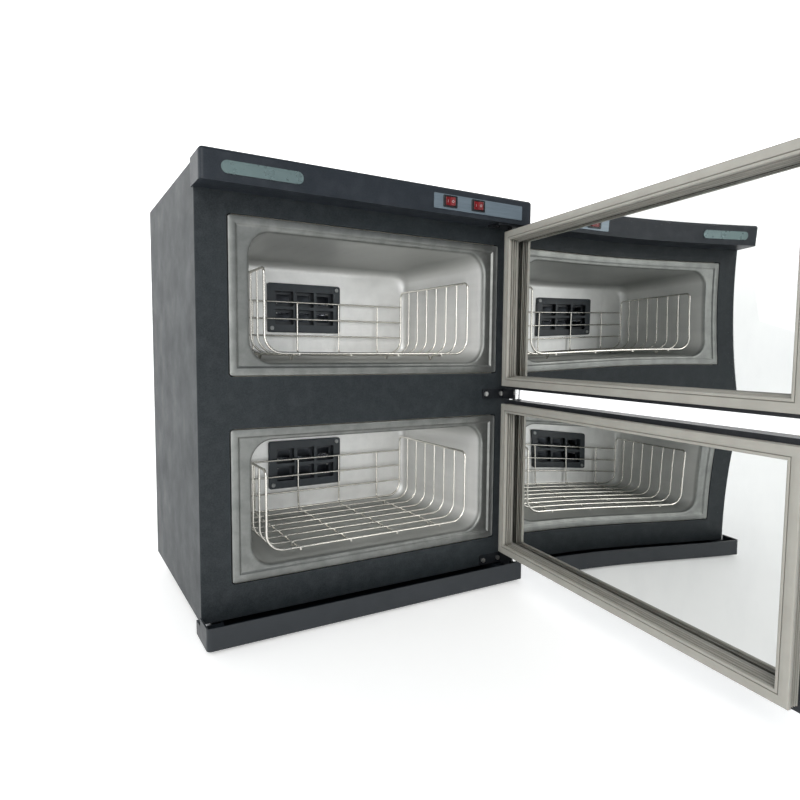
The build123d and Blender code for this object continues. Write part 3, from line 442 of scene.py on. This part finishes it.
# Nodes whose finish differs from the rest of their slot.
OWN_FINISH = {"lamp_cover_screws": "screw_dull", "top_hinge_pin": "screw_dull",
              "hinge_screws": "hinge_screws"}


def dress_cad_nodes():
    """Gives every CAD node the material of its slot in the record."""
    for entry in frame["record"]["subparts"]:
        node = NODES[entry["node"]]
        node.data.materials.clear()
        node.data.materials.append(MATERIALS[OWN_FINISH.get(entry["node"], entry["material_slot"])])


# ------------------------------------------------------------------ mesh helpers
def make_object(name, bm, material, crease_deg=35.0):
    """Turns a bmesh into an object, smooth except across edges sharper than crease_deg."""
    bmesh.ops.recalc_face_normals(bm, faces=bm.faces)
    limit = math.radians(crease_deg)
    for face in bm.faces:
        face.smooth = True
    for edge in bm.edges:
        edge.smooth = len(edge.link_faces) == 2 and edge.calc_face_angle(0.0) < limit
    mesh = bpy.data.meshes.new(name)
    bm.to_mesh(mesh)
    bm.free()
    mesh.materials.append(material)
    made = bpy.data.objects.new(name, mesh)
    bpy.context.scene.collection.objects.link(made)
    return made


def stand_for(piece, node):
    """Lets a mesh piece take the place of a CAD node on the same body."""
    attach(piece, NODES[node]["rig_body"])
    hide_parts(node)


def rounded_loop(x0, x1, z0, z1, r, steps=12):
    """Rounded rectangle as (x, z) points; the count is the same whatever its size."""
    points = []
    for cx, cz, start in ((x1 - r, z1 - r, 0), (x0 + r, z1 - r, 90), (x0 + r, z0 + r, 180),
                          (x1 - r, z0 + r, 270)):
        for i in range(steps + 1):
            a = math.radians(start + 90 * i / steps)
            points.append((cx + r * math.cos(a), cz + r * math.sin(a)))
    return points


def bridge(bm, first, second):
    """Quads between two rings of vertices of the same length."""
    count = len(first)
    for i in range(count):
        j = (i + 1) % count
        bm.faces.new((first[i], first[j], second[j], second[i]))


def tube(bm, path, radius, sides=12):
    """Closed round tube along a path of points, its frame carried on without twist."""
    points = [Vector(p) for p in path]
    ahead = (points[1] - points[0]).normalized()
    across = ahead.orthogonal().normalized()
    rings = []
    for i, point in enumerate(points):
        before, after = points[max(i - 1, 0)], points[min(i + 1, len(points) - 1)]
        turned = (after - before).normalized()
        across = (ahead.rotation_difference(turned) @ across).normalized()
        ahead = turned
        up = ahead.cross(across)
        rings.append([bm.verts.new(point + radius * (math.cos(a) * across + math.sin(a) * up))
                      for a in (2 * math.pi * k / sides for k in range(sides))])
    for first, second in zip(rings, rings[1:]):
        bridge(bm, first, second)
    bm.faces.new(reversed(rings[0]))
    bm.faces.new(rings[-1])


def rounded_path(points, radii, steps=8):
    """The path through the points with each inner corner turned into an arc."""
    points = [Vector(p) for p in points]
    path = [points[0]]
    for before, corner, after, r in zip(points, points[1:], points[2:], radii):
        u, v = (before - corner).normalized(), (after - corner).normalized()
        half = u.angle(v) / 2
        middle = corner + (u + v).normalized() * (r / math.sin(half))
        start = corner + u * (r / math.tan(half)) - middle
        end = corner + v * (r / math.tan(half)) - middle
        axis = start.cross(end).normalized()
        for i in range(steps + 1):
            path.append(middle + Quaternion(axis, start.angle(end) * i / steps) @ start)
    path.append(points[-1])
    return path


# ------------------------------------------------------------------ liners
# Lengths in millimetres, measured inwards from the flange's edges and back from its face.
MOUTH_LEFT, MOUTH_RIGHT, MOUTH_RISE = 25.0, 22.5, 14.75
MOUTH_RADIUS = 27.0
CHAMBER_DEPTH = 212.0
SIDE_DRAFT, TOP_DRAFT = 5.0, 2.5
BACK_FILLET = 15.0
FLANGE_PROFILE = ((0.0, 4.0), (0.0, 0.7), (0.2, 0.2), (0.7, 0.0), (8.0, 0.0), (8.4, 0.1), (8.8, 0.5),
                  (10.4, 1.9), (10.9, 2.15), (11.6, 2.2))
MOUTH_PROFILE = ((4.2, 2.2), (2.9, 2.35), (1.8, 2.8), (0.9, 3.7), (0.3, 5.2), (0.0, 7.5))
LAMP_HOLE = (100.0, 54.0)
LAMP_RISE = 80.0
LAMP_X = -15.0
SHEET_THICKNESS = 0.9


def liner(level):
    node = f"{level}_liner"
    lo, hi = (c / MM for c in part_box(node))
    bm = bmesh.new()

    def ring(x0, x1, z0, z1, r, y):
        return [bm.verts.new(Vector((x, lo.y + y, z)) * MM) for x, z in rounded_loop(x0, x1, z0, z1, r)]

    rings = []
    for inset, y in FLANGE_PROFILE:
        rings.append(ring(lo.x + inset, hi.x - inset, lo.z + inset, hi.z - inset, max(3.0 - inset, 0.6), y))
    x0, x1 = lo.x + MOUTH_LEFT, hi.x - MOUTH_RIGHT
    z0, z1 = lo.z + MOUTH_RISE, hi.z - MOUTH_RISE
    for grow, y in MOUTH_PROFILE:
        rings.append(ring(x0 - grow, x1 + grow, z0 - grow, z1 + grow, MOUTH_RADIUS + grow, y))

    def wall(share, inset, y):
        side = SIDE_DRAFT * share + inset
        return ring(x0 + side, x1 - side, z0 + inset, z1 - TOP_DRAFT * share - inset,
                    MOUTH_RADIUS - 0.4 * inset, y)

    straight = CHAMBER_DEPTH - BACK_FILLET
    for y in (30.0, 60.0, 90.0, 120.0, 150.0, 180.0, straight):
        rings.append(wall(y / CHAMBER_DEPTH, 0.0, y))
    for i in range(1, 9):
        a = math.radians(90.0 * i / 8)
        y = straight + BACK_FILLET * math.sin(a)
        rings.append(wall(y / CHAMBER_DEPTH, BACK_FILLET * (1 - math.cos(a)), y))
    hw, hh = LAMP_HOLE[0] / 2, LAMP_HOLE[1] / 2
    zc = z0 + LAMP_RISE
    rings.append(ring(LAMP_X - hw, LAMP_X + hw, zc - hh, zc + hh, 3.0, CHAMBER_DEPTH))
    for first, second in zip(rings, rings[1:]):
        bridge(bm, first, second)
    piece = make_object(f"{node}_shell", bm, MATERIALS["liner_aluminium"])
    thick = piece.modifiers.new("sheet", "SOLIDIFY")
    thick.thickness = SHEET_THICKNESS * MM
    thick.offset = -1.0 if faces_viewer(piece) else 1.0
    thick.use_even_offset = False
    stand_for(piece, node)


def faces_viewer(piece):
    """Does the flange's flat face point out of the front, towards -Y?"""
    face = max((p for p in piece.data.polygons if abs(p.normal.y) > 0.9), key=lambda p: -p.center.y)
    return face.normal.y < 0


# ------------------------------------------------------------------ door pieces
HINGE = Vector(next(j["pos_m"] for j in frame["joints"] if j["name"] == "upper_door_hinge"))
DOOR_OPEN = math.radians(83.0)
FRONT_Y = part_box("front_panel")[0].y / MM


def swung(point):
    """Carries a point of a closed door, in millimetres, to where the open door stands."""
    turn = Matrix.Rotation(DOOR_OPEN, 3, "Z")
    x, y, z = Vector(point) * MM
    flat = turn @ Vector((x - HINGE.x, y - HINGE.y, 0.0))
    return Vector((HINGE.x + flat.x, HINGE.y + flat.y, z))


def waver(*seeds):
    """Smooth repeatable waviness between -1 and 1, as a sum of sines."""
    return sum(math.sin(a) for a in seeds) / len(seeds)


# Gasket section: (inset from the outer edge, depth behind the flat face, how far it wanders).
GASKET_SECTION = (
    (0.0, 0.7, 0), (0.2, 0.2, 0), (0.7, 0.0, 0), (8.1, 0.0, 0), (8.45, 0.12, 0), (8.6, 0.7, 0),
    (8.9, 0.9, 0), (9.2, 0.7, 0), (9.35, 0.3, 0), (9.8, 0.15, 0), (11.4, 0.15, 0), (11.85, 0.35, 0),
    (12.0, 0.8, 0), (12.0, 3.9, 0.1), (11.8, 4.4, 0.2), (11.0, 4.7, 0.4), (9.4, 5.0, 0.6),
    (9.0, 5.4, 0.7), (9.3, 5.8, 0.7), (12.2, 6.2, 0.8), (12.9, 6.6, 0.9), (12.9, 7.1, 0.9),
    (12.2, 7.5, 0.8), (9.2, 8.0, 0.7), (8.7, 8.5, 0.7), (9.1, 9.0, 0.7), (12.3, 9.4, 0.8),
    (13.1, 9.9, 0.8), (13.1, 10.4, 0.8), (12.3, 10.8, 0.6), (9.6, 11.2, 0.4), (9.3, 11.6, 0.3),
    (9.8, 12.0, 0.1), (13.0, 12.2, 0), (13.6, 12.6, 0), (13.6, 13.4, 0), (0.6, 13.4, 0),
    (0.6, 12.6, 0), (1.0, 12.1, 0), (3.8, 11.8, 0), (4.2, 11.4, 0), (3.8, 11.0, 0),
    (1.2, 10.6, 0.3), (0.6, 10.1, 0.3), (1.2, 9.6, 0.3), (4.2, 9.1, 0.3), (4.6, 8.6, 0.3),
    (4.2, 8.1, 0.3), (1.2, 7.7, 0.3), (0.6, 7.2, 0.3), (1.2, 6.7, 0.3), (3.4, 6.1, 0.3),
    (3.7, 5.6, 0.3), (3.2, 5.1, 0.2), (0.5, 4.7, 0), (0.0, 4.2, 0))
GASKET_HALF = (213.5, 106.8)
GASKET_FACE = -0.5
SPANS = 72


def gasket(level):
    node = f"{level}_door_gasket"
    lo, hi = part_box(node)
    zc = (lo.z + hi.z) / 2 / MM
    hw, hh = GASKET_HALF
    corners = ((-1, -1), (1, -1), (1, 1), (-1, 1))
    bm = bmesh.new()
    rings = []
    for side in range(4):
        (ax, az), (bx, bz) = corners[side], corners[(side + 1) % 4]
        for step in range(SPANS):
            t = step / SPANS
            fade = math.sin(math.pi * t) ** 0.35 if t > 0 else 0.0
            ring = []
            for k, (inset, depth, loose) in enumerate(GASKET_SECTION):
                px0, pz0 = ax * (hw - inset), az * (hh - inset)
                px1, pz1 = bx * (hw - inset), bz * (hh - inset)
                x, z = px0 + (px1 - px0) * t, pz0 + (pz1 - pz0) * t
                phase = side * 2.1 + (0.0 if level == "upper" else 1.3)
                sway = waver(17.0 * t + phase, 41.0 * t + 2.0 * phase + 0.3 * k, 73.0 * t + 3.1 * phase)
                push = 0.75 * loose * fade * sway
                inward = Vector((-(bz - az), 0, (bx - ax))).normalized()
                dip = 0.35 * loose * fade * waver(29.0 * t + phase + 0.5 * k, 57.0 * t + phase)
                ring.append(bm.verts.new(swung((x + inward.x * push, FRONT_Y + GASKET_FACE - depth + dip,
                                                zc + z + inward.z * push))))
            rings.append(ring)
    for i, ring in enumerate(rings):
        bridge(bm, ring, rings[(i + 1) % len(rings)])
    piece = make_object(f"{node}_bellows", bm, MATERIALS["gasket_vinyl"], 50.0)
    stand_for(piece, node)


# Pane sizes in millimetres: how far it bows, half its width, its faces' places behind the
# front panel's, and the width of its bevelled edge.
GLASS_BOW = 1.6
GLASS_HALF_W = 208.0
GLASS_Y = (-20.45, -18.2)
GLASS_EDGE = 0.4
GLASS_CELLS = (56, 32)


def glass(level):
    """Thin pane pressed into a shallow bow towards the chamber by its seat."""
    node = f"{level}_door_glass"
    lo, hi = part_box(node)
    zc = (lo.z + hi.z) / 2 / MM
    hh = (hi.z - lo.z) / 2 / MM - 0.3
    hw = GLASS_HALF_W
    y_out, y_in = FRONT_Y + GLASS_Y[0], FRONT_Y + GLASS_Y[1]
    across, up = GLASS_CELLS
    bm = bmesh.new()

    def sheet(y, inset, finish=0):
        rows = []
        for j in range(up + 1):
            v = 2 * j / up - 1
            row = []
            for i in range(across + 1):
                u = 2 * i / across - 1
                bow = GLASS_BOW * (1 - u * u) * (1 - v * v)
                row.append(bm.verts.new(swung((u * (hw - inset), y + bow, zc + v * (hh - inset)))))
            rows.append(row)
        for a, b in zip(rows, rows[1:]):
            for i in range(across):
                face = bm.faces.new((a[i], a[i + 1], b[i + 1], b[i]))
                face.material_index = finish
        return (rows[0] + [r[-1] for r in rows[1:-1]] + rows[-1][::-1] + [r[0] for r in rows[-2:0:-1]])

    rims = [sheet(y_out, GLASS_EDGE, 1)]
    for y in (y_out + GLASS_EDGE, y_in - GLASS_EDGE):
        edge = [bm.verts.new(v.co) for v in rims[0]]
        rims.append(edge)
    back = sheet(y_in, GLASS_EDGE)
    for edge, y, source in ((rims[1], GLASS_EDGE, rims[0]), (rims[2], -GLASS_EDGE, back)):
        turn = Matrix.Rotation(DOOR_OPEN, 3, "Z")
        middle = swung((0.0, (y_out + y_in) / 2, zc))
        for vert, near in zip(edge, source):
            out = near.co - middle
            along = turn @ Vector((1, 0, 0))
            deep = turn @ Vector((0, 1, 0))
            wider = along * out.dot(along) * (hw / (hw - GLASS_EDGE))
            taller = Vector((0, 0, out.z * hh / (hh - GLASS_EDGE)))
            vert.co = middle + wider + taller + deep * (out.dot(deep) + y * MM)
    for first, second in ((rims[0], rims[1]), (rims[1], rims[2]), (rims[2], back)):
        bridge(bm, first, second)
    piece = make_object(f"{node}_pane", bm, MATERIALS["door_glass"])
    piece.data.materials.append(MATERIALS["smoked_face"])
    stand_for(piece, node)


# ------------------------------------------------------------------ baskets
WIRE, RAIL = 2.6, 3.2
BASKET_Y0, BASKET_Y1 = 14.0, 202.0
FLOOR_BEND, RAIL_BEND = 22.0, 8.0
FENCE = 101.0
CROSS_X = (-99.0, -29.0, 41.0, 111.0)
BACK_RAILS = (26.0, 51.5, 77.0)
CROSS_WIRES_DIP = (28.0, 30.0)
BASKET_GAPS = 7
WELD_RADIUS = 1.6
WELD_SHAPE = (1.2, 1.2, 0.8, 1.0)


def basket(level):
    node = f"{level}_basket"
    lo, hi = (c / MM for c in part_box(node))
    x0, x1 = lo.x + RAIL / 2, hi.x - RAIL / 2
    zr = hi.z - RAIL / 2
    zf = zr - FENCE
    y0, y1 = BASKET_Y0 + FRONT_Y, BASKET_Y1 + FRONT_Y
    ym = (y0 + y1) / 2
    bends = (RAIL_BEND, FLOOR_BEND, FLOOR_BEND, RAIL_BEND)
    wires = []
    for y in (y0, y1):
        wires.append((rounded_path([(x0, ym, zr), (x0, y, zr), (x0, y, zf), (x1, y, zf), (x1, y, zr),
                                    (x1, ym, zr)], bends), RAIL))
    step = (y1 - y0) / BASKET_GAPS
    for i in range(1, BASKET_GAPS):
        y = y0 + i * step
        wires.append((rounded_path([(x0, y, zr), (x0, y, zf), (x1, y, zf), (x1, y, zr)],
                                   (FLOOR_BEND, FLOOR_BEND)), WIRE))
    zc = zf - (WIRE + RAIL) / 2 + 0.5
    tip = lo.z + WIRE / 2
    yr = y1 + (WIRE + RAIL) / 2 - 0.5
    z_top = zf + BACK_RAILS[-1]
    for x in CROSS_X:
        points, radii = [(x, y0 - 1, zc)], []
        if x in (CROSS_X[0], CROSS_X[-1]):
            for yt in (y0 + CROSS_WIRES_DIP[0], y1 - CROSS_WIRES_DIP[1]):
                points += [(x, yt - 6, zc), (x, yt, tip), (x, yt + 6, zc)]
                radii += [2.0, 1.6, 2.0]
        wires.append((rounded_path(points + [(x, yr, zc), (x, yr, z_top)], radii + [9.0]), WIRE))
    for rise in BACK_RAILS:
        wires.append(([(x0, y1, zf + rise), (x1, y1, zf + rise)], WIRE))
    bm = bmesh.new()
    for path, thickness in wires:
        tube(bm, [Vector(p) * MM for p in path], thickness / 2 * MM)
    welds = [(x, y0 + i * step, (zf + zc) / 2) for x in CROSS_X for i in range(BASKET_GAPS + 1)]
    welds += [(x, (y1 + yr) / 2, zf + rise) for x in CROSS_X for rise in BACK_RAILS]
    welds += [(x, y1, zf + rise) for x in (x0, x1) for rise in BACK_RAILS]
    for place in welds:
        nugget = Matrix.Translation(Vector(place) * MM) @ Matrix.Diagonal(WELD_SHAPE)
        bmesh.ops.create_icosphere(bm, subdivisions=2, radius=WELD_RADIUS * MM, matrix=nugget)
    piece = make_object(f"{node}_wires", bm, MATERIALS["basket_wire"], 60.0)
    stand_for(piece, node)


# ------------------------------------------------------------------ rocker marks
ROCKER_TILT = 10.0
ROCKER_FACE = ((-6.9, -4.6), (0.0, -3.5), (6.9, -4.6))
MARK_RAISE, MARK_SINK = 0.12, 0.3


def rocker_depth(x):
    """Front face of the rocker's shallow V at x, in the rocker's own frame."""
    (xa, ya), (xm, ym), _ = ROCKER_FACE
    return ym + (ya - ym) * abs(x) / (xm - xa)


def rocker_marks(name):
    """Plain on and off marks, a bar and a ring, moulded on the two halves of a rocker."""
    lo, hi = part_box(f"{name}_switch_body")
    pivot = Vector(((lo.x + hi.x) / 2, FRONT_Y * MM - 0.0362, (lo.z + hi.z) / 2))
    turn = Matrix.Rotation(math.radians(-ROCKER_TILT), 3, "Z")
    bm = bmesh.new()

    def block(outlines):
        """A raised mark between its outer outline and, if it has one, its inner outline."""
        rings = [[bm.verts.new(pivot + turn @ (Vector((x, rocker_depth(x) + deep, z)) * MM))
                  for x, z in outline] for outline in outlines for deep in (-MARK_RAISE, MARK_SINK)]
        bridge(bm, rings[0], rings[1])
        if len(rings) == 2:
            bm.faces.new(rings[0])
            bm.faces.new(rings[1][::-1])
        else:
            bridge(bm, rings[2], rings[3])
            bridge(bm, rings[0], rings[2])
            bridge(bm, rings[1], rings[3])

    block([rounded_loop(-3.75, -3.2, -1.7, 1.7, 0.2, 4)])
    block([rounded_loop(3.5 - r, 3.5 + r, -1.25 * r, 1.25 * r, r, 6) for r in (1.35, 0.85)])
    marks = make_object(f"{name}_rocker_marks", bm, MATERIALS["mark_white"])
    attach(marks, f"{name}_rocker_body")


# ------------------------------------------------------------------ studio
# The camera's place and angles, in metres and degrees.
CAMERA_PLACE = Vector((-0.3728, -0.8446, 0.3338))
CAMERA_YAW, CAMERA_PITCH, CAMERA_ROLL = -30.47, -4.47, 0.42
CAMERA_LENS = 27.43


def make_camera():
    camera = bpy.data.objects.new("camera", bpy.data.cameras.new("camera"))
    bpy.context.scene.collection.objects.link(camera)
    camera.data.lens = CAMERA_LENS
    camera.data.sensor_width = 36.0
    camera.data.clip_start, camera.data.clip_end = 0.02, 60.0
    turn = (Matrix.Rotation(math.radians(CAMERA_YAW), 4, "Z")
            @ Matrix.Rotation(math.radians(90 + CAMERA_PITCH), 4, "X")
            @ Matrix.Rotation(math.radians(CAMERA_ROLL), 4, "Z"))
    camera.matrix_world = Matrix.Translation(CAMERA_PLACE) @ turn
    bpy.context.scene.camera = camera


def area_light(name, place, target, size, power, tint=(1.0, 1.0, 1.0)):
    light = bpy.data.lights.new(name, "AREA")
    light.shape, light.size, light.size_y = "RECTANGLE", size[0], size[1]
    light.energy, light.color = power, tint
    lamp = bpy.data.objects.new(name, light)
    bpy.context.scene.collection.objects.link(lamp)
    lamp.location = place
    lamp.rotation_mode = "QUATERNION"
    lamp.rotation_quaternion = (Vector(target) - Vector(place)).to_track_quat("-Z", "Y")


SWEEP_RADIUS, SWEEP_RISE, SWEEP_BEND = 4.2, 5.0, 1.6
SWEEP_FROM, SWEEP_TO = -25.0, 205.0
SWEEP_INNER = 1.4
SWEEP_STEPS, SWEEP_BEND_STEPS = 64, 12


def make_sweep():
    """Pale floor that curves up into a round wall on the left, behind and on the right."""
    bm = bmesh.new()
    rows = []
    steps = SWEEP_STEPS
    flat = SWEEP_RADIUS - SWEEP_BEND
    profile = [(SWEEP_INNER, 0.0), (flat, 0.0)]
    for i in range(1, SWEEP_BEND_STEPS + 1):
        a = math.radians(90 * i / SWEEP_BEND_STEPS)
        profile.append((flat + SWEEP_BEND * math.sin(a), SWEEP_BEND * (1 - math.cos(a))))
    profile.append((SWEEP_RADIUS, SWEEP_RISE))
    for radius, height in profile:
        rows.append([bm.verts.new((radius * math.cos(a), radius * math.sin(a), height))
                     for a in (math.radians(SWEEP_FROM + (SWEEP_TO - SWEEP_FROM) * k / steps)
                               for k in range(steps + 1))])
    middle = bm.verts.new((0, 0, 0))
    for k in range(steps):
        bm.faces.new((middle, rows[0][k], rows[0][k + 1]))
    for a, b in zip(rows, rows[1:]):
        for k in range(steps):
            bm.faces.new((a[k], b[k], b[k + 1], a[k + 1]))
    # The open front: flat floor from the centre towards the viewer.
    near = [bm.verts.new(p) for p in ((-SWEEP_RADIUS, -SWEEP_RADIUS, 0), (SWEEP_RADIUS, -SWEEP_RADIUS, 0))]
    left = [row[-1] for row in rows[:2]]
    right = [row[0] for row in rows[:2]]
    bm.faces.new((middle, left[0], left[1], near[0], near[1], right[1], right[0]))
    return bm


SKY_TINT = rgb(0.80, 0.90, 1.0)
SKY_STRENGTH = 0.24
# Soft lights: name, place and target in metres, size, watts and, where it isn't white, tint.
CABINET_MIDDLE = (0.0, -0.05, 0.28)
LIGHTS = (
    ("key", (-1.2, -2.0, 1.75), CABINET_MIDDLE, (1.3, 1.3), 31.0, (1.0, 0.985, 0.96)),
    ("front", (-0.9, -2.7, 0.5), CABINET_MIDDLE, (2.4, 1.2), 21.0),
    ("left_wall", (-3.2, 1.0, 1.3), (0.0, 0.0, 0.4), (2.6, 2.4), 6.0),
)


def make_studio():
    floor = make_object("floor", make_sweep(), floor_material(), 60.0)
    world = bpy.data.worlds.new("studio")
    bpy.context.scene.world = world
    world.use_nodes = True
    background = world.node_tree.nodes["Background"]
    background.inputs["Color"].default_value = SKY_TINT
    background.inputs["Strength"].default_value = SKY_STRENGTH
    for light in LIGHTS:
        area_light(*light)
    bpy.context.scene.view_settings.view_transform = "Standard"


make_camera()
make_studio()
dress_cad_nodes()
for level in LEVELS:
    liner(level)
    gasket(level)
    glass(level)
    basket(level)
for switch in ("uv", "heat"):
    rocker_marks(switch)
